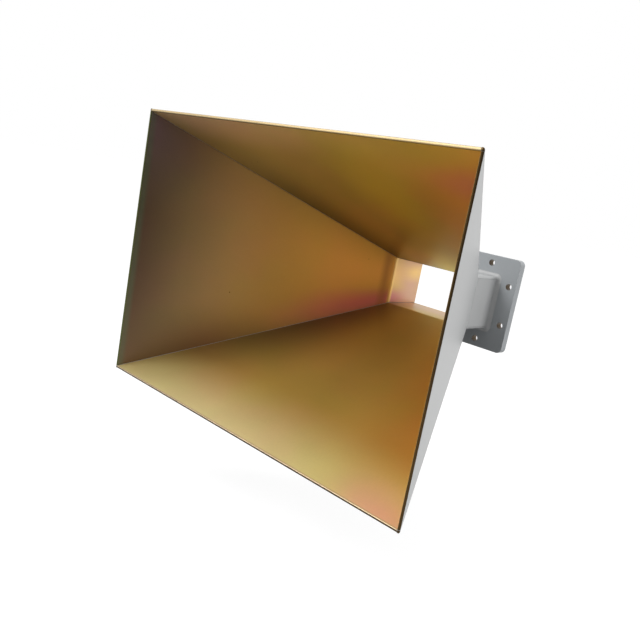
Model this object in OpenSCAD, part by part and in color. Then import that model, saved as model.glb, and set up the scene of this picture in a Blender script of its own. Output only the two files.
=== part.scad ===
// Pyramidal horn antenna with a waveguide flange.
// Four bent plates make both the flare and the straight neck behind it. They are welded along
// their four corners, and the neck passes through a drilled flange.
// Frame: origin at the centre of the flange's mating face, +Y out of that face, +Z up.
// The horn's axis runs along -Y and its mouth opens towards -Y.

/* [Waveguide passage] */
// Inside width of the passage (broad wall)
guide_w = 109.22; // [80:0.01:150]
// Inside height of the passage (narrow wall)
guide_h = 54.61; // [40:0.01:80]
// Length of the neck, from the mating face to the fold line at the throat
neck_len = 53.5; // [35:0.5:90]

/* [Flare] */
// Inside width of the mouth
mouth_w = 394; // [300:1:480]
// Inside height of the mouth
mouth_h = 272; // [200:1:340]
// Length of the flare along the axis, from the throat's fold line to the mouth
flare_len = 267; // [200:1:340]

/* [Sheet] */
// Thickness of the four plates
sheet_t = 2.5; // [1.5:0.1:4]
// Bend radius of each plate, on its outer (hollow) side
bend_r = 8; // [4:0.5:16]

/* [Flange] */
// Thickness of the flange
flange_t = 9.5; // [6:0.5:14]
// Width of the flange's rim, from the neck's outer face to the flange's edge
flange_rim = 23.4; // [18:0.1:32]
// Corner radius of the flange
flange_corner_r = 6; // [2:0.5:12]
// Gap all round between the neck and the flange's window
window_gap = 0.1; // [0.05:0.05:0.5]

/* [Bolt holes] */
// Diameter of the ten bolt holes
hole_d = 7.1; // [5:0.1:9]
// Distance from the flange's edge to the line of hole centres
hole_edge = 8.73; // [6:0.01:11]
// Distance between neighbouring holes of a side
hole_pitch = 44.45; // [36:0.01:50]

/* [Welds] */
// Leg of the fillet weld between the neck and the flange
fillet_leg = 4; // [2:0.5:6]
// Thickness that is left at the toes of the fillet weld
fillet_toe = 0.2; // [0.1:0.1:0.5]

/* [Hidden] */
$fn = 96;
// Flat facets in each bend, and sides of a seam weld's full round
BEND_STEPS = 8;
ROD_SIDES = 40;

// Half openings of the passage and of the mouth, in plan (x) and in side view (z)
guide_x = guide_w / 2;
guide_z = guide_h / 2;
mouth_x = mouth_w / 2;
mouth_z = mouth_h / 2;
// The seam weld fills the open corner between two plates, and is dressed round to this radius
seam_r = sheet_t;
// Radius of a plate's bend on the side that faces the cavity
cavity_bend_r = bend_r + sheet_t;
// Outer half sizes of the neck and of the flange
neck_x = guide_x + sheet_t;
neck_z = guide_z + sheet_t;
flange_x = neck_x + flange_rim;
flange_z = neck_z + flange_rim;
// Places of the hole lines
row_z = flange_z - hole_edge;
row_x = flange_x - hole_edge;
// Reach of the blocks that trim the plates, past every plate
trim = mouth_w;

// Angle between a flare wall and the axis
function flare_angle(half_in, half_out) = atan((half_out - half_in) / flare_len);

// Distance from the fold line to where the bend starts, along either leg
function bend_reach(angle) = cavity_bend_r * tan(angle / 2);

// The cavity's side of a folded wall, as a slice along the axis: u runs from the mating face to
// the mouth, v away from the axis. With offset above 0 the line lies that far inside the metal.
function folded_line(half_in, half_out, offset = 0, overrun = 0) =
    let (
        angle = flare_angle(half_in, half_out),
        reach = bend_reach(angle),
        centre = [neck_len - reach, half_in + cavity_bend_r],
        slant = flare_len / cos(angle) - reach + overrun,
        along = [cos(angle), sin(angle)],
        radius = cavity_bend_r - offset,
        bend = [for (i = [0 : BEND_STEPS])
            let (turn = angle * i / BEND_STEPS) centre + radius * [sin(turn), -cos(turn)]]
    )
    concat([[0, half_in + offset]], bend, [bend[BEND_STEPS] + slant * along]);

function reversed(list) = [for (i = [len(list) - 1 : -1 : 0]) list[i]];

// Section of one plate, square to the sheet at the mouth
module plate_2d(half_in, half_out) {
    polygon(concat(
        folded_line(half_in, half_out),
        reversed(folded_line(half_in, half_out, sheet_t))
    ));
}

// Everything beyond a wall of the cavity, up to the mouth or past it by overrun
module beyond_2d(half_in, half_out, overrun) {
    angle = flare_angle(half_in, half_out);
    wall = folded_line(half_in, half_out, 0, overrun);
    mouth_end = wall[len(wall) - 1];
    polygon(concat(wall, [mouth_end + trim * [-sin(angle), cos(angle)], [0, half_in + 2 * trim]]));
}

// Stands a slice up: v becomes +X and the extrusion runs along Z
module in_plan(height) {
    rotate([0, 0, -90]) linear_extrude(height = height, center = true) children();
}

// Stands a slice up: v becomes +Z and the extrusion runs along X
module in_side(width) {
    rotate([0, -90, 0]) rotate([0, 0, -90]) linear_extrude(height = width, center = true) children();
}

module both_x() {
    children();
    mirror([1, 0, 0]) children();
}

module both_z() {
    children();
    mirror([0, 0, 1]) children();
}

// Everything beyond the cavity's right wall, and beyond its top wall
module beyond_right(overrun) {
    in_plan(2 * trim) beyond_2d(guide_x, mouth_x, overrun);
}

module beyond_top(overrun) {
    in_side(2 * trim) beyond_2d(guide_z, mouth_z, overrun);
}

// Top wall: a bent strip whose sides are cut to the cavity's side walls
module broad_plate() {
    difference() {
        in_side(mouth_w + sheet_t) plate_2d(guide_z, mouth_z);
        both_x() beyond_right(trim);
    }
}

// Right wall: a bent strip whose sides are cut to the cavity's top and bottom walls
module narrow_plate() {
    difference() {
        in_plan(mouth_h + sheet_t) plate_2d(guide_x, mouth_x);
        both_z() beyond_top(trim);
    }
}

// Round rod between two points, as a prism with many sides
module rod(from, to, r) {
    run = to - from;
    length = norm(run);
    translate(from) rotate([0, acos(run[2] / length), atan2(run[1], run[0])])
        linear_extrude(height = length)
            polygon([for (i = [0 : ROD_SIDES - 1]) r * [cos(360 * i / ROD_SIDES), sin(360 * i / ROD_SIDES)]]);
}

// Weld along the top right corner, from the mating face to the mouth: it fills the open corner
// between the two plates and ends flush with them
module seam_weld() {
    neck_end = [guide_x, 0, guide_z];
    fold = [guide_x, -neck_len, guide_z];
    mouth_end = [mouth_x, -neck_len - flare_len, mouth_z];
    past_mouth = mouth_end + (mouth_end - fold) * (2 * seam_r / norm(mouth_end - fold));
    intersection() {
        union() {
            rod(neck_end, fold, seam_r);
            rod(fold, past_mouth, seam_r);
        }
        beyond_right(0);
        beyond_top(0);
    }
}

module round_rect(half_x, half_z, r) {
    square([2 * (half_x - r), 2 * half_z], center = true);
    square([2 * half_x, 2 * (half_z - r)], center = true);
    for (sx = [-1, 1], sz = [-1, 1])
        translate([sx * (half_x - r), sz * (half_z - r)]) circle(r = r);
}

// Lays an outline in the X-Z plane and thickens it from y = -thick to y = 0
module upright(thick) {
    rotate([90, 0, 0]) linear_extrude(height = thick) children();
}

module bolt_holes() {
    for (sz = [-1, 1], i = [-1, 0, 1])
        translate([i * hole_pitch, sz * row_z]) circle(d = hole_d);
    for (sx = [-1, 1], i = [-1, 1])
        translate([sx * row_x, i * hole_pitch / 2]) circle(d = hole_d);
}

module flange_shape() {
    upright(flange_t) difference() {
        round_rect(flange_x, flange_z, flange_corner_r);
        round_rect(neck_x + window_gap, neck_z + window_gap, seam_r + window_gap);
        bolt_holes();
    }
}

// Section of the fillet weld: x away from the neck, y away from the flange's front face
module fillet_2d() {
    difference() {
        square(fillet_leg);
        translate([fillet_leg, fillet_leg]) circle(r = fillet_leg - fillet_toe);
    }
}

// One straight run of the fillet weld, centred on the origin and running along X
module fillet_run(length) {
    rotate([90, 0, 90]) linear_extrude(height = length, center = true) fillet_2d();
}

// One corner of the fillet weld, round the dressed corner of the neck
module fillet_corner() {
    rotate_extrude(angle = 90) translate([seam_r, 0]) fillet_2d();
}

module flange_weld_shape() {
    translate([0, -flange_t, 0]) rotate([90, 0, 0]) {
        for (half_turn = [0, 180]) rotate([0, 0, half_turn]) {
            translate([0, neck_z, 0]) fillet_run(guide_w);
            rotate([0, 0, -90]) translate([0, neck_x, 0]) fillet_run(guide_h);
            translate([guide_x, guide_z, 0]) fillet_corner();
            translate([-guide_x, guide_z, 0]) rotate([0, 0, 90]) fillet_corner();
        }
    }
}

module top_plate() { color("goldenrod") broad_plate(); }
module bottom_plate() { color("goldenrod") mirror([0, 0, 1]) broad_plate(); }
module right_plate() { color("darkgoldenrod") narrow_plate(); }
module left_plate() { color("darkgoldenrod") mirror([1, 0, 0]) narrow_plate(); }
module seam_weld_top_right() { color("gray") seam_weld(); }
module seam_weld_top_left() { color("gray") mirror([1, 0, 0]) seam_weld(); }
module seam_weld_bottom_right() { color("gray") mirror([0, 0, 1]) seam_weld(); }
module seam_weld_bottom_left() { color("gray") mirror([1, 0, 0]) mirror([0, 0, 1]) seam_weld(); }
module flange() { color("lightgray") flange_shape(); }
module flange_weld() { color("silver") flange_weld_shape(); }

top_plate();
bottom_plate();
left_plate();
right_plate();
seam_weld_top_left();
seam_weld_top_right();
seam_weld_bottom_left();
seam_weld_bottom_right();
flange();
flange_weld();
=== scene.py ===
# %% [markdown]
# # A horn antenna in light grey paint and gold conversion coat
# The real object is a pyramidal horn: four bent aluminium plates, welded along their corners, that funnel down
# from a wide mouth to a rectangular neck. The neck passes through a bolt flange. The solids come packed, so this
# lesson is about finishes, light and the camera: how light grey paint, an iridescent coat and a cut metal edge are
# told apart on the same sheet.

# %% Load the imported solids
import math

import bpy
from mathutils import Matrix, Vector


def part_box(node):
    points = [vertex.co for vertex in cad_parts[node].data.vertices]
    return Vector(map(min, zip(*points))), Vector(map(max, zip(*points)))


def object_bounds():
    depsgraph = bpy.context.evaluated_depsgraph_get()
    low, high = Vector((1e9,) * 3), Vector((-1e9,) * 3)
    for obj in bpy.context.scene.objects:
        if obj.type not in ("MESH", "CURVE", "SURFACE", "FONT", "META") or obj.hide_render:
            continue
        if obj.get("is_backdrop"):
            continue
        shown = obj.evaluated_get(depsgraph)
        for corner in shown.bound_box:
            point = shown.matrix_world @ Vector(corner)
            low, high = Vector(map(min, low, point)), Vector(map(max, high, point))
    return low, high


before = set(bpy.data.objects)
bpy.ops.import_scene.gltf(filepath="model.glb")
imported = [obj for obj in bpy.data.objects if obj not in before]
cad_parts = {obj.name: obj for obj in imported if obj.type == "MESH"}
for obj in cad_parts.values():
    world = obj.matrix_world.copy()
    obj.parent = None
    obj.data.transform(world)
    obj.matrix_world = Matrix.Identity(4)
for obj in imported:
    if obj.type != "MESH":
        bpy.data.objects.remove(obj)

lowest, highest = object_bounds()
print("solids:", sorted(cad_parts))
print("box in metres:", [round(v, 4) for v in highest - lowest])

# %% [markdown]
# Every finish below is placed by where a point lies in the horn. The outer places come from the solids' own boxes:
# the mouth is the lowest y, the flange's back face is y = 0. The flare's length and the inner sizes of the mouth
# and the waveguide can't be read from a box, because panel, bend and neck are one solid, so they are named here.

# %% Name the horn's own sizes
MM = 0.001
GUIDE_HALF_X = 109.22 * MM / 2  # half the waveguide's broad wall, inside
GUIDE_HALF_Z = 54.61 * MM / 2  # half its narrow wall, inside
MOUTH_HALF_X = 197 * MM  # half the mouth's width, inside
MOUTH_HALF_Z = 136 * MM  # half the mouth's height, inside
FLARE_LENGTH = 267 * MM  # mouth to throat, along the axis
MOUTH_Y = lowest.y
print("mouth at y", round(MOUTH_Y, 4), "throat at y", round(MOUTH_Y + FLARE_LENGTH, 4))

# %% [markdown]
# A colour is easiest to choose the way a paint card shows it, as three numbers up to 255 that a screen would show.
# Shaders want light itself, so each number is bent by the screen's curve first.

# %% Colours as a shader wants them
def tone(red, green, blue):
    """A screen colour, 0 to 255, as the linear colour that a shader wants."""
    shares = [c / 255 for c in (red, green, blue)]
    return tuple(c / 12.92 if c <= 0.04045 else ((c + 0.055) / 1.055) ** 2.4 for c in shares) + (1.0,)


print("gold as a shader sees it:", [round(c, 3) for c in tone(150, 110, 50)])

# %% [markdown]
# Node trees soon fill a page when every node takes three lines. Four small helpers keep them short: one fills a
# socket, one adds a node with its plain values, one does a step of arithmetic and one blends two colours.

# %% Helpers for node trees
def fill(tree, socket, value):
    """Links value to the socket if it is a node's output, or else sets it as the socket's own value."""
    if isinstance(value, bpy.types.NodeSocket):
        tree.links.new(value, socket)
    else:
        socket.default_value = value


def add(tree, kind, settings=None, **sockets):
    """A new node. settings are its own properties; sockets are input values or links, with _ for a space."""
    node = tree.nodes.new(kind)
    for name, value in (settings or {}).items():
        setattr(node, name, value)
    for name, value in sockets.items():
        fill(tree, node.inputs[name.replace("_", " ")], value)
    return node


def work_out(tree, operation, a, b=0.0, c=0.0):
    """One step of arithmetic on numbers or links, and its result."""
    node = add(tree, "ShaderNodeMath", {"operation": operation})
    for socket, value in zip(node.inputs, (a, b, c)):
        fill(tree, socket, value)
    return node.outputs[0]


def blend_colour(tree, share, first, second, mode="MIX"):
    """first where share is 0 and second where it is 1."""
    node = add(tree, "ShaderNodeMix", {"data_type": "RGBA", "blend_type": mode})
    for socket, value in ((node.inputs[0], share), (node.inputs[6], first), (node.inputs[7], second)):
        fill(tree, socket, value)
    return node.outputs[2]


print("helpers:", fill.__name__, add.__name__, work_out.__name__, blend_colour.__name__)

# %% [markdown]
# Effects that several finishes share are node groups, built once and used many times.

# %% Helpers for node groups
NUMBER, COLOUR, VECTOR = "NodeSocketFloat", "NodeSocketColor", "NodeSocketVector"


def new_group(name, inputs, outputs):
    """An empty node group with named sockets, and its input and output nodes."""
    group = bpy.data.node_groups.new(name, "ShaderNodeTree")
    for label, kind, value in inputs:
        socket = group.interface.new_socket(name=label, in_out="INPUT", socket_type=kind)
        if value is not None:
            socket.default_value = value
    for label, kind in outputs:
        group.interface.new_socket(name=label, in_out="OUTPUT", socket_type=kind)
    return group, group.nodes.new("NodeGroupInput"), group.nodes.new("NodeGroupOutput")


def use(tree, group, **sockets):
    """A copy of a node group in a tree."""
    return add(tree, "ShaderNodeGroup", {"node_tree": group}, **sockets)


print("helpers:", new_group.__name__, use.__name__)

# %% [markdown]
# The first group turns a point into the horn's own measures: depth, 0 at the mouth and 1 at the throat; across, -1
# to 1 over the width there; and height, -1 to 1. With these, a stain can be put "near the throat, low on the left
# wall" on a wall that tapers.

# %% Group: where in the horn a point lies
horn_place, given, result = new_group(
    "horn_place",
    [("Position", VECTOR, None)],
    [("Depth", NUMBER), ("Across", NUMBER), ("Height", NUMBER)],
)
parts = add(horn_place, "ShaderNodeSeparateXYZ", Vector=given.outputs["Position"])
from_mouth = work_out(horn_place, "SUBTRACT", parts.outputs["Y"], MOUTH_Y)
depth = work_out(horn_place, "DIVIDE", from_mouth, FLARE_LENGTH)
taper = work_out(horn_place, "MINIMUM", work_out(horn_place, "MAXIMUM", depth, 0.0), 1.0)
half_x = work_out(horn_place, "MULTIPLY_ADD", taper, GUIDE_HALF_X - MOUTH_HALF_X, MOUTH_HALF_X)
half_z = work_out(horn_place, "MULTIPLY_ADD", taper, GUIDE_HALF_Z - MOUTH_HALF_Z, MOUTH_HALF_Z)
horn_place.links.new(depth, result.inputs["Depth"])
horn_place.links.new(work_out(horn_place, "DIVIDE", parts.outputs["X"], half_x), result.inputs["Across"])
horn_place.links.new(work_out(horn_place, "DIVIDE", parts.outputs["Z"], half_z), result.inputs["Height"])
print("group", horn_place.name, "gives", [s.name for s in result.inputs if s.name])

# %% [markdown]
# The coat's colour drifts over a wall in soft clouds, as the film's thickness does, and some clouds paint light and
# shade on the walls as well. Each cloud is an oval with a soft edge. It could be a gradient texture, but an oval
# worked out from two measures keeps to the wall's taper.

# %% Group: one soft cloud
soft_cloud, given, result = new_group(
    "soft_cloud",
    [("U", NUMBER, 0.0), ("V", NUMBER, 0.0), ("Centre U", NUMBER, 0.5), ("Centre V", NUMBER, 0.0),
     ("Reach U", NUMBER, 0.5), ("Reach V", NUMBER, 0.5), ("Strength", NUMBER, 1.0)],
    [("Mask", NUMBER)],
)
squares = []
for axis in ("U", "V"):
    offset = work_out(soft_cloud, "SUBTRACT", given.outputs[axis], given.outputs["Centre " + axis])
    share = work_out(soft_cloud, "DIVIDE", offset, given.outputs["Reach " + axis])
    squares.append(work_out(soft_cloud, "MULTIPLY", share, share))
distance = work_out(soft_cloud, "SQRT", work_out(soft_cloud, "ADD", *squares))
edge = add(soft_cloud, "ShaderNodeMapRange", {"interpolation_type": "SMOOTHSTEP"},
           Value=distance, From_Min=1.0, From_Max=0.0, To_Min=0.0, To_Max=1.0)
mask = work_out(soft_cloud, "MULTIPLY", edge.outputs["Result"], given.outputs["Strength"])
soft_cloud.links.new(mask, result.inputs["Mask"])
print("group", soft_cloud.name, "built")

# %% [markdown]
# Rolled sheet keeps faint lines along its rolling direction, even under a coat. A noise texture squeezed along one
# axis gives them, and a wide noise adds faint clouding. The group puts out a tint that lightens and darkens the
# colour a little, and a height for the Bump node.

# %% Group: rolled grain
GRAIN_STRETCH = (900.0, 26.0, 900.0)  # noise steps in a metre: fine across the lines, long along the axis
CLOUDING = 14.0  # steps in a metre of the wide noise
rolled_grain, given, result = new_group(
    "rolled_grain",
    [("Position", VECTOR, None), ("Lines", NUMBER, 1.0), ("Specks", NUMBER, 0.0)],
    [("Tint", NUMBER), ("Height", NUMBER), ("Speck", NUMBER)],
)
place = given.outputs["Position"]
squeezed = add(rolled_grain, "ShaderNodeVectorMath", {"operation": "MULTIPLY"})
fill(rolled_grain, squeezed.inputs[0], place)
fill(rolled_grain, squeezed.inputs[1], GRAIN_STRETCH)
lines = add(rolled_grain, "ShaderNodeTexNoise", Vector=squeezed.outputs[0], Scale=1.0, Detail=3.0, Roughness=0.6)
clouds = add(rolled_grain, "ShaderNodeTexNoise", Vector=place, Scale=CLOUDING, Detail=3.0)
line_shift = work_out(rolled_grain, "SUBTRACT", lines.outputs[0], 0.5)
line_height = work_out(rolled_grain, "MULTIPLY", line_shift, given.outputs["Lines"])
cloud_height = work_out(rolled_grain, "SUBTRACT", clouds.outputs[0], 0.5)
tint = work_out(rolled_grain, "MULTIPLY_ADD", cloud_height, 0.5, line_height)
rolled_grain.links.new(tint, result.inputs["Tint"])
rolled_grain.links.new(line_height, result.inputs["Height"])
print("group", rolled_grain.name, "gives lines and clouding")

# %% [markdown]
# Fine specks of dust are in the same group, because they sit on every finish. Each cell of a Voronoi texture has a
# dot at its heart, and only a few of the cells keep theirs.

# %% Group: specks in the same group
SPECK_CELLS = 55.0  # cells in a metre
SPECK_SIZE = 0.035  # a dot's radius as a share of a cell
cells = add(rolled_grain, "ShaderNodeTexVoronoi", {"feature": "F1"}, Vector=place, Scale=SPECK_CELLS)
dot = work_out(rolled_grain, "LESS_THAN", cells.outputs["Distance"], SPECK_SIZE)
cell_lot = add(rolled_grain, "ShaderNodeSeparateColor", Color=cells.outputs["Color"])
chosen = work_out(rolled_grain, "LESS_THAN", cell_lot.outputs[0], given.outputs["Specks"])
rolled_grain.links.new(work_out(rolled_grain, "MULTIPLY", dot, chosen), result.inputs["Speck"])
print("group", rolled_grain.name, "gives specks too")

# %% [markdown]
# Paint, coat and cut edge all let the grain show in their colour, each by its own share. The step from tint to
# colour is the same for all three, so it is a group as well.

# %% Group: grain on a colour
grain_on_colour, given, result = new_group(
    "grain_on_colour",
    [("Colour", COLOUR, None), ("Tint", NUMBER, 0.0), ("Share", NUMBER, 0.1)],
    [("Colour", COLOUR)],
)
lift = work_out(grain_on_colour, "MULTIPLY_ADD", given.outputs["Tint"], given.outputs["Share"], 1.0)
shade = add(grain_on_colour, "ShaderNodeCombineColor", Red=lift, Green=lift, Blue=lift)
shaded = blend_colour(grain_on_colour, 1.0, given.outputs["Colour"], shade.outputs[0], "MULTIPLY")
grain_on_colour.links.new(shaded, result.inputs["Colour"])
print("group", grain_on_colour.name, "built")

# %% [markdown]
# A film this thin never has quite one thickness, so a wall shimmers faintly from rose to green across a hand's
# width. A low noise picks between two tints that multiply the colour below. A single noise on the hue would also
# do, but two named tints can't drift into blue.

# %% Group: rose and green shimmer
ROSE, GREEN = (1.09, 0.95, 1.12, 1), (0.95, 1.05, 0.92, 1)
film_shimmer, given, result = new_group(
    "film_shimmer",
    [("Position", VECTOR, None), ("Amount", NUMBER, 1.0)],
    [("Tint", COLOUR)],
)
drift = add(film_shimmer, "ShaderNodeTexNoise", Vector=given.outputs["Position"], Scale=11.0, Detail=2.0)
spread = add(film_shimmer, "ShaderNodeMapRange", {"interpolation_type": "SMOOTHSTEP"},
             Value=drift.outputs[0], From_Min=0.35, From_Max=0.65, To_Min=0.0, To_Max=1.0)
shimmer = blend_colour(film_shimmer, spread.outputs["Result"], ROSE, GREEN)
shimmer = blend_colour(film_shimmer, given.outputs["Amount"], (1, 1, 1, 1), shimmer)
film_shimmer.links.new(shimmer, result.inputs["Tint"])
print("group", film_shimmer.name, "built")

# %% [markdown]
# All finishes start alike: a Principled shader, and the point's place in the horn's own frame. They also end
# alike, with a bump that turns a height into tiny slopes.

# %% Helpers for materials
def new_material(name):
    """A material with nodes, its tree, its shader and the link that carries a point's place."""
    material = bpy.data.materials.new(name)
    material.use_nodes = True
    tree = material.node_tree
    return material, tree, tree.nodes["Principled BSDF"], add(tree, "ShaderNodeTexCoord").outputs["Object"]


def roughen(tree, shader, height, strength, distance):
    """Bumps the shader's surface by height, at most distance metres high."""
    bump = add(tree, "ShaderNodeBump", Height=height, Strength=strength, Distance=distance)
    tree.links.new(bump.outputs[0], shader.inputs["Normal"])


print("helpers:", new_material.__name__, roughen.__name__)

# %% [markdown]
# The inside is chromate conversion coat on bare aluminium: a film far under a micron thick, gold where it is thin
# and rose, violet or olive where it is thicker. It is metal with a coloured skin, so Metallic is high and the
# colour carries the film. A true thin-film shader would also turn with the eye, but its colours are hard to place.
# Clouds of set colours give each wall the drift that a dipped plate shows; some clouds, and the line along each
# wall's edge, are painted highlight and painted shade.

# %% The coat
LIP_STARTS, LIP_FULL = 0.008, 0.003  # depths between which the lip's colour comes in
SPECK_BROWN = tone(40, 28, 12)


def coat_material(name, side, ground, lip, film_and_light_clouds):
    """Gold coat for one wall. side is the measure that runs across this wall, ground the colour of most of it and
    lip the colour of the last two millimetres before the mouth: a line of painted highlight on some walls and of
    painted shade on others. Each cloud is (depth, place across the wall, reach in depth, reach across, colour,
    strength); some clouds are the film's own colour and some are painted highlight and painted shade."""
    material, tree, shader, spot = new_material(name)
    where = use(tree, horn_place, Position=spot)
    colour = ground
    # each cloud is film colour, and on some walls painted highlight and painted shade
    for at_depth, at_across, reach_depth, reach_across, cloud_colour, strength in film_and_light_clouds:
        cloud = use(tree, soft_cloud, U=where.outputs["Depth"], V=where.outputs[side],
                    Centre_U=at_depth, Centre_V=at_across, Reach_U=reach_depth, Reach_V=reach_across,
                    Strength=strength)
        colour = blend_colour(tree, cloud.outputs["Mask"], colour, cloud_colour)
    shimmer = use(tree, film_shimmer, Position=spot, Amount=0.4)
    colour = blend_colour(tree, 1.0, colour, shimmer.outputs["Tint"], "MULTIPLY")
    at_lip = add(tree, "ShaderNodeMapRange", {"interpolation_type": "SMOOTHSTEP"},
                 Value=where.outputs["Depth"], From_Min=LIP_STARTS, From_Max=LIP_FULL, To_Min=0.0, To_Max=1.0)
    # the edge line: a painted highlight on some walls and painted shade on others
    colour = blend_colour(tree, at_lip.outputs["Result"], colour, lip)
    grain = use(tree, rolled_grain, Position=spot, Lines=0.5, Specks=0.05)
    colour = use(tree, grain_on_colour, Colour=colour, Tint=grain.outputs["Tint"], Share=0.18).outputs["Colour"]
    colour = blend_colour(tree, grain.outputs["Speck"], colour, SPECK_BROWN)
    tree.links.new(colour, shader.inputs["Base Color"])
    tree.links.new(work_out(tree, "MULTIPLY_ADD", grain.outputs["Tint"], 0.12, 0.42), shader.inputs["Roughness"])
    roughen(tree, shader, grain.outputs["Height"], 0.15, 0.2 * MM)
    shader.inputs["Metallic"].default_value = 0.85
    return material


coats = {}
print("a coat runs from its lip at the mouth to the neck")

# %% [markdown]
# The left wall has the richest drift. It is brown and violet near the mouth, darkest in a band across the wall
# there that is a painted dark reflection, with a dark olive line at its very edge that is partly film colour and
# partly painted shade, and it turns orange and rose towards the throat. The narrow gold band on the bend is a
# painted highlight, with a strip of painted shade just before it, and the neck behind it is paler, with a painted
# golden highlight on its upper part.

# %% The left wall
# tone(90, 96, 60) is the edge line: olive film colour darkened as painted shade
coats["left_plate"] = coat_material("coat_left_wall", "Height", tone(182, 152, 100), tone(90, 96, 60), [
    (0.25, -1.0, 0.4, 0.6, tone(140, 105, 75), 0.8),
    # painted dark reflection: a dark band across the wall near the mouth
    (-0.05, 0.0, 0.5, 4.0, tone(88, 68, 54), 1.0),
    (0.0, 1.0, 0.3, 0.8, tone(112, 90, 96), 0.7),
    # partly painted shade: a dark olive line just behind the edge
    (0.012, 0.0, 0.02, 4.0, tone(92, 104, 78), 0.6),
    (0.95, 0.2, 0.55, 1.4, tone(238, 194, 124), 0.85),
    (0.92, -0.8, 0.45, 0.6, tone(205, 130, 140), 1.0),
    # painted shade: a darker strip just before the bend
    (0.965, 0.0, 0.03, 4.0, tone(160, 120, 90), 0.6),
    # painted highlight: the narrow gold band on the bend
    (1.0, 0.0, 0.016, 4.0, tone(250, 215, 140), 1.0),
    (1.15, 0.0, 0.14, 3.0, tone(205, 165, 140), 0.9),
    # painted highlight: a golden patch high on the neck
    (1.15, 0.4, 0.12, 0.6, tone(245, 210, 120), 0.7),
])
print("coated:", coats["left_plate"].name)

# %% [markdown]
# The right wall is the plainest: gold, with one brownish cloud deep down and one near the mouth. A pale line along
# its edge and a narrow gold band on the bend are painted highlights.

# %% The right wall
# tone(215, 180, 120) is the edge line, a painted highlight
coats["right_plate"] = coat_material("coat_right_wall", "Height", tone(192, 162, 95), tone(215, 180, 120), [
    (0.8, -0.6, 0.5, 0.8, tone(190, 145, 110), 0.8),
    (0.1, 0.8, 0.4, 0.8, tone(160, 130, 105), 0.7),
    # painted highlight: the narrow gold band on the bend
    (1.0, 0.0, 0.016, 4.0, tone(250, 215, 140), 1.0),
])
print("coated:", coats["right_plate"].name)

# %% [markdown]
# The top wall is dark olive on its left, and gold on its right, where yellow and rose bands cross near the mouth.
# A darker line along its edge is painted shade.

# %% The top wall
# tone(120, 105, 70) is the edge line, painted shade
coats["top_plate"] = coat_material("coat_top_wall", "Across", tone(186, 168, 100), tone(120, 105, 70), [
    (0.7, -1.0, 1.0, 0.9, tone(108, 94, 55), 0.95),
    (0.0, -0.4, 0.22, 1.2, tone(225, 195, 152), 0.9),
    (0.35, 0.35, 0.6, 0.5, tone(222, 200, 92), 0.7),
    (0.35, 0.95, 0.8, 0.5, tone(208, 160, 92), 1.0),
    (0.05, 0.75, 0.14, 0.35, tone(185, 178, 90), 0.6),
    (0.2, 1.0, 0.14, 0.4, tone(200, 132, 128), 0.7),
    (1.0, 0.45, 0.3, 0.7, tone(232, 218, 110), 0.9),
])
print("coated:", coats["top_plate"].name)

# %% [markdown]
# The bottom wall is the brightest near the mouth, where a painted pool of light makes it pale gold, with a rose
# corner and a pale edge line that is a painted highlight; deep down on its left it is dark olive.

# %% The bottom wall
# tone(206, 184, 152) is the edge line, a painted highlight
coats["bottom_plate"] = coat_material("coat_bottom_wall", "Across", tone(216, 182, 98), tone(206, 184, 152), [
    (0.65, -1.0, 1.0, 1.0, tone(108, 92, 58), 0.95),
    (0.4, 0.95, 0.8, 0.5, tone(206, 154, 84), 0.9),
    # painted light: a pale pool across the wall near the mouth
    (0.0, 0.0, 0.3, 2.4, tone(253, 238, 175), 1.0),
    (0.02, 0.9, 0.15, 0.35, tone(245, 190, 170), 0.8),
    (1.15, 0.0, 0.15, 3.0, tone(215, 175, 150), 0.8),
])
print("coated:", coats["bottom_plate"].name)

# %% [markdown]
# The flange's mating face has to touch metal with metal, so it stays bare of paint and shows the coat as well. It
# is a little paler, with one rose and one green patch.

# %% The mating face
FLANGE_GOLD = tone(225, 190, 120)
flange_coat = coat_material("coat_flange", "Across", FLANGE_GOLD, FLANGE_GOLD, [
    (1.2, 0.9, 0.3, 0.7, tone(215, 160, 130), 0.8),
    (1.2, -1.2, 0.3, 0.6, tone(190, 180, 110), 0.7),
])
print("coated:", flange_coat.name)

# %% [markdown]
# Outside, the plates, the welds and the flange carry one light grey satin paint; the flange's copy of it is darker
# and a little bluer, partly as painted shade. Paint isn't metal: a plain base colour, some gloss, and the very fine
# orange peel that a spray gun leaves. The grain group adds the faint clouding of the paint and a few specks.

# %% The grey paint
PEEL_SCALE = 900.0  # dimples in a metre
SPECK_GREY = tone(90, 90, 88)


def paint_material(name, colour, roughness, peel):
    """Satin paint of one grey, with orange peel of that strength."""
    material, tree, shader, spot = new_material(name)
    grain = use(tree, rolled_grain, Position=spot, Lines=0.15, Specks=0.03)
    painted = use(tree, grain_on_colour, Colour=colour, Tint=grain.outputs["Tint"], Share=0.08).outputs["Colour"]
    faint_speck = work_out(tree, "MULTIPLY", grain.outputs["Speck"], 0.5)
    painted = blend_colour(tree, faint_speck, painted, SPECK_GREY)
    tree.links.new(painted, shader.inputs["Base Color"])
    gloss = work_out(tree, "MULTIPLY_ADD", grain.outputs["Tint"], 0.1, roughness)
    tree.links.new(gloss, shader.inputs["Roughness"])
    skin = add(tree, "ShaderNodeTexNoise", Vector=spot, Scale=PEEL_SCALE, Detail=2.0)
    roughen(tree, shader, skin.outputs[0], peel, 0.08 * MM)
    return material


plate_paint = paint_material("grey_paint_plates", tone(190, 191, 191), 0.42, 0.25)
weld_paint = paint_material("grey_paint_welds", tone(188, 189, 189), 0.45, 0.4)
# darker grey on the flange: partly painted shade
shaded_flange_paint = paint_material("grey_paint_flange_partly_shaded", tone(168, 172, 175), 0.42, 0.3)
print("paints:", plate_paint.name, weld_paint.name, shaded_flange_paint.name)

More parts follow.
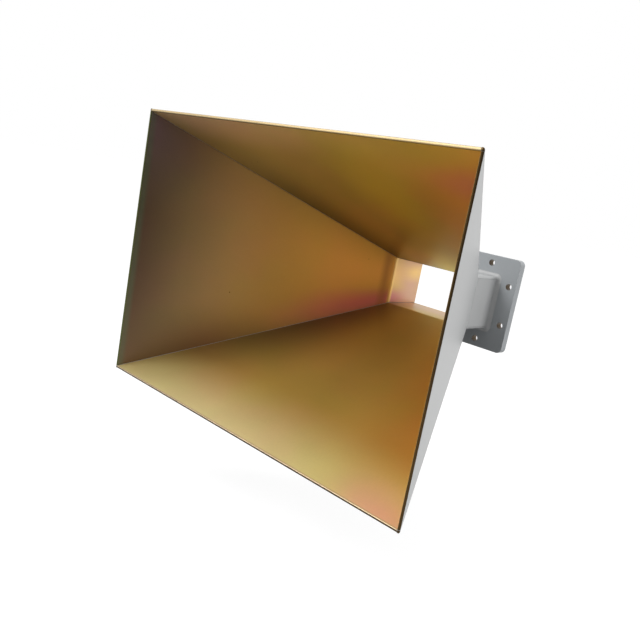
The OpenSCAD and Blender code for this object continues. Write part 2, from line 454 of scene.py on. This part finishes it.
# %% [markdown]
# The cut ends of the plates at the mouth carry the coat too. A sawn and filed edge takes a thicker, browner film;
# the brown of the right and bottom rims and the dark olive of the left rim are also painted dark reflection, and
# the top rim's pale colour is a painted highlight.

# %% The cut rims
def rim_material(name, colour, roughness):
    """Coated metal with the file's lines in it."""
    material, tree, shader, spot = new_material(name)
    grain = use(tree, rolled_grain, Position=spot, Lines=1.0)
    filed = use(tree, grain_on_colour, Colour=colour, Tint=grain.outputs["Tint"], Share=0.4).outputs["Colour"]
    tree.links.new(filed, shader.inputs["Base Color"])
    roughen(tree, shader, grain.outputs["Height"], 0.2, 0.1 * MM)
    shader.inputs["Metallic"].default_value = 0.9
    shader.inputs["Roughness"].default_value = roughness
    return material


# brown film, darkened as painted dark reflection
brown_film_and_shade_rim = rim_material("brown_film_and_shade_rim", tone(70, 54, 30), 0.35)
rims = {
    # left rim: olive film, darkened as painted dark reflection
    "left_plate": rim_material("olive_film_and_shade_rim", tone(84, 86, 56), 0.4),
    "right_plate": brown_film_and_shade_rim,
    # top rim: pale, a painted highlight
    "top_plate": rim_material("top_rim_painted_highlight", tone(168, 149, 112), 0.45),
    "bottom_plate": brown_film_and_shade_rim,
}
print("rims:", sorted({m.name for m in rims.values()}))

# %% [markdown]
# Which finish a face takes is decided by where it looks. On a plate, a face at the mouth that looks out of it is
# the cut rim, a face that looks towards the horn's axis is inside, and the rest is painted. A seam weld's cut end
# at the mouth takes the rim's brown, which is partly painted dark reflection.

# %% Choose finishes on plates and welds
RIM_DEPTH = 4 * MM  # how far behind the mouth a rim face can lie


def is_rim(face):
    """True for a face at the mouth that looks out of it."""
    return face.center.y < MOUTH_Y + RIM_DEPTH and face.normal.y < -0.75


def plate_finish(face):
    """0 paint, 1 coat, 2 rim, for one face of a plate."""
    looks, at = face.normal, face.center
    if is_rim(face):
        return 2
    looks_inward = at.x * looks.x + at.z * looks.z < 0
    looks_back = looks.y > 0.9
    return int(looks_inward or looks_back)


def weld_finish(face):
    """0 paint, 1 the rim's brown coat, partly painted dark reflection, on a seam's cut end."""
    return int(is_rim(face))


print("rim faces lie above y", round(MOUTH_Y, 4), "and below y", round(MOUTH_Y + RIM_DEPTH, 4))

# %% [markdown]
# On the flange, the mating face, the bolt holes and the window are masked while the rest is sprayed. A face on the
# outline is told from one in a hole by how near it lies to the flange's own box.

# %% Choose finishes on the flange
_, flange_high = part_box("flange")
CORNER = 6 * MM  # the flange's corner radius
NEAR = 1 * MM


def flange_finish(face):
    """0 paint, 1 gold coat, 2 the rim's browner coat, partly painted dark reflection, in the bores and the window.
    """
    looks, at = face.normal, face.center
    if abs(looks.y) > 0.5:
        return int(looks.y > 0)
    edge_x, edge_z = flange_high.x - abs(at.x), flange_high.z - abs(at.z)
    on_outline = min(edge_x, edge_z) < NEAR or max(edge_x, edge_z) < CORNER
    return 0 if on_outline else 2


print("flange reaches x", round(flange_high.x, 4), "and z", round(flange_high.z, 4))

# %% [markdown]
# Each solid is given its finishes as material slots, and each face the number of its slot. The points of the mesh
# don't move.

# %% Give each face its finish
def finish_faces(node, finishes, choose):
    """Gives the node these finishes, and each face the one that choose picks."""
    node.data.materials.clear()
    for finish in finishes:
        node.data.materials.append(finish)
    for face in node.data.polygons:
        face.material_index = choose(face)
    counts = [sum(f.material_index == i for f in node.data.polygons) for i in range(len(finishes))]
    print(node.name, "faces by finish:", counts)


for name, coat in coats.items():
    finish_faces(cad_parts[name], (plate_paint, coat, rims[name]), plate_finish)
finish_faces(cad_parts["flange"], (shaded_flange_paint, flange_coat, brown_film_and_shade_rim), flange_finish)
for name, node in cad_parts.items():
    if "weld" in name:
        finish_faces(node, (weld_paint, brown_film_and_shade_rim), weld_finish)

# %% [markdown]
# The solids come with razor-sharp edges. Real edges are broken with a file and catch a thin line of light. The
# mesh's own points stay as they are, so the edge is rounded by modifiers: Weld joins the split points, Bevel rounds
# every edge sharper than the bends' own facets, and Weighted Normal keeps flats flat.

# %% Break the edges
SHARP = math.radians(32)  # an edge that turns more than this is rounded
PLATE_EDGE, WELD_EDGE = 0.6 * MM, 0.1 * MM


def break_edges(node, width, rounds):
    """Rounds a solid's sharp edges by width without touching its own points."""
    for face in node.data.polygons:
        face.use_smooth = True
    node.modifiers.new("join_points", "WELD").merge_threshold = 0.002 * MM
    bevel = node.modifiers.new("broken_edge", "BEVEL")
    bevel.width, bevel.segments = width, rounds
    bevel.limit_method, bevel.angle_limit = "ANGLE", SHARP
    node.modifiers.new("even_shading", "WEIGHTED_NORMAL")


for name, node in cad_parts.items():
    if name.endswith("_plate") or name == "flange":
        break_edges(node, PLATE_EDGE, 2)
    else:
        break_edges(node, WELD_EDGE, 1)
print("edges broken on", len(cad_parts), "solids")

# %% [markdown]
# The floor is a plain pale sheet under the horn, and it keeps the horn's shadow. To the eye and in reflections it
# glows a little, more so far away, and it meets a white world without a horizon. As a source of bounced light it
# stays dull.

# %% The floor
FLOOR_Z = lowest.z - 0.10
NO_SHINE = 0.0


def seen_directly(tree):
    """1 where the eye, a reflection or a clear body looks, 0 where light only bounces."""
    path = add(tree, "ShaderNodeLightPath")
    mirrored = work_out(tree, "MAXIMUM", path.outputs["Is Glossy Ray"], path.outputs["Is Transmission Ray"])
    return work_out(tree, "MAXIMUM", path.outputs["Is Camera Ray"], mirrored)


bpy.ops.mesh.primitive_plane_add(size=30, location=(0, 0, FLOOR_Z))
floor = bpy.context.object
floor.name = "floor"
floor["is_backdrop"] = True
pale_floor, tree, shader, where = new_material("pale_floor")
shader.inputs["Roughness"].default_value = 0.9
shader.inputs["Specular IOR Level"].default_value = NO_SHINE
seen = seen_directly(tree)
floor_colour = blend_colour(tree, seen, (0.15, 0.15, 0.15, 1), (0.4, 0.4, 0.4, 1))
tree.links.new(floor_colour, shader.inputs["Base Color"])
reach = add(tree, "ShaderNodeVectorMath", {"operation": "LENGTH"})
tree.links.new(where, reach.inputs[0])
glow = add(tree, "ShaderNodeMapRange", {"interpolation_type": "SMOOTHSTEP"},
           Value=reach.outputs["Value"], From_Min=0.5, From_Max=2.5, To_Min=0.76, To_Max=0.84)
shine = work_out(tree, "MULTIPLY", seen, glow.outputs["Result"])
shine_colour = add(tree, "ShaderNodeCombineColor", Red=shine, Green=shine, Blue=shine)
tree.links.new(shine_colour.outputs[0], shader.inputs["Emission Color"])
shader.inputs["Emission Strength"].default_value = 1.0
floor.data.materials.append(pale_floor)
print("floor at z", round(FLOOR_Z, 3))

# %% [markdown]
# The world is white where the eye looks straight at it, and a softer white as a lamp.

# %% The world
WORLD_LIGHT = 0.45  # strength as a lamp; it is 1 where it is seen
world = bpy.data.worlds.new("studio")
bpy.context.scene.world = world
world.use_nodes = True
tree = world.node_tree
back = tree.nodes["Background"]
back.inputs["Color"].default_value = (1, 1, 1, 1)
strength = work_out(tree, "MULTIPLY_ADD", seen_directly(tree), 1 - WORLD_LIGHT, WORLD_LIGHT)
tree.links.new(strength, back.inputs["Strength"])
print("world as a lamp:", WORLD_LIGHT)

# %% [markdown]
# Studio light for a part like this is a big soft lamp high on one side and another on the far side. A third, weak
# one stands before the mouth, so that the deep end of the horn isn't lost.

# %% Lamps
def soft_lamp(name, place, aim, size, power):
    """A square area lamp at place that looks at aim."""
    lamp = bpy.data.lights.new(name, "AREA")
    lamp.size, lamp.energy = size, power
    holder = bpy.data.objects.new(name, lamp)
    bpy.context.scene.collection.objects.link(holder)
    holder.location = place
    holder.rotation_euler = (Vector(aim) - Vector(place)).to_track_quat("-Z", "Y").to_euler()
    print(name, "power", lamp.energy)


soft_lamp("key_lamp", place=(-0.9, -1.5, 1.4), aim=(0, -0.2, 0), size=1.2, power=26)
soft_lamp("side_lamp", place=(1.6, 0.6, 1.1), aim=(0.1, -0.1, 0), size=1.0, power=20)
soft_lamp("mouth_lamp", place=(-0.1, -1.9, 0.2), aim=(0, -0.1, 0), size=0.7, power=3)

# %% [markdown]
# Metal shows what stands round it. In a white studio it would look flat and milky, so two dark cards stand where
# the inner walls and the rims look, as photographers do. They only show in reflections.

# %% Dark cards
card_black, _, shader, _ = new_material("card_black")
shader.inputs["Base Color"].default_value = tone(40, 38, 36)
shader.inputs["Specular IOR Level"].default_value = NO_SHINE


def dark_card(name, place, aim, width, height):
    """A black card that only metal sees, as a dark reflection. It casts no shadow."""
    bpy.ops.mesh.primitive_plane_add(size=1, location=place)
    card = bpy.context.object
    card.name = name
    card.scale = (width, height, 1)
    card.rotation_euler = (Vector(aim) - Vector(place)).to_track_quat("Z", "Y").to_euler()
    card.data.materials.append(card_black)
    card.visible_camera = card.visible_diffuse = card.visible_shadow = card.visible_transmission = False
    card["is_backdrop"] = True
    print(name, "stands at", place)


dark_card("right_card", place=(1.0, -0.75, -0.1), aim=(0, -0.3, 0), width=1.3, height=1.2)
dark_card("front_card", place=(0.35, -1.5, -0.45), aim=(0.1, -0.3, 0), width=1.4, height=0.7)

# %% [markdown]
# The camera stands in front, to the right of the mouth, a little above, and is rolled so that the horn seems to
# hang tilted. Position, view direction and roll are set as one matrix. View Transform Standard keeps the white of
# the background white.

# %% Camera
eye = Vector((0.45993, -0.73195, 0.09668))
ahead = Vector((-0.66172, 0.72632, -0.18595)).normalized()
up_hint = Vector((-0.25982, 0.0105, 0.9656))
right = ahead.cross(up_hint).normalized()
up = right.cross(ahead)
camera = bpy.data.objects.new("camera", bpy.data.cameras.new("camera"))
bpy.context.scene.collection.objects.link(camera)
camera.matrix_world = Matrix.Translation(eye) @ Matrix((right, up, -ahead)).transposed().to_4x4()
camera.data.sensor_width = 36
camera.data.lens = 40.177
camera.data.clip_start, camera.data.clip_end = 0.01, 100
bpy.context.scene.camera = camera
bpy.context.scene.view_settings.view_transform = "Standard"
print("camera at", [round(v, 3) for v in eye])

# %% [markdown]
# The finishes and the broken edges must not make the horn any bigger. The box is measured again and printed, so
# that it can be set beside the one from the start.

# %% Print the size again
lowest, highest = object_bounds()
print("box at the end:", [round(v, 4) for v in highest - lowest])
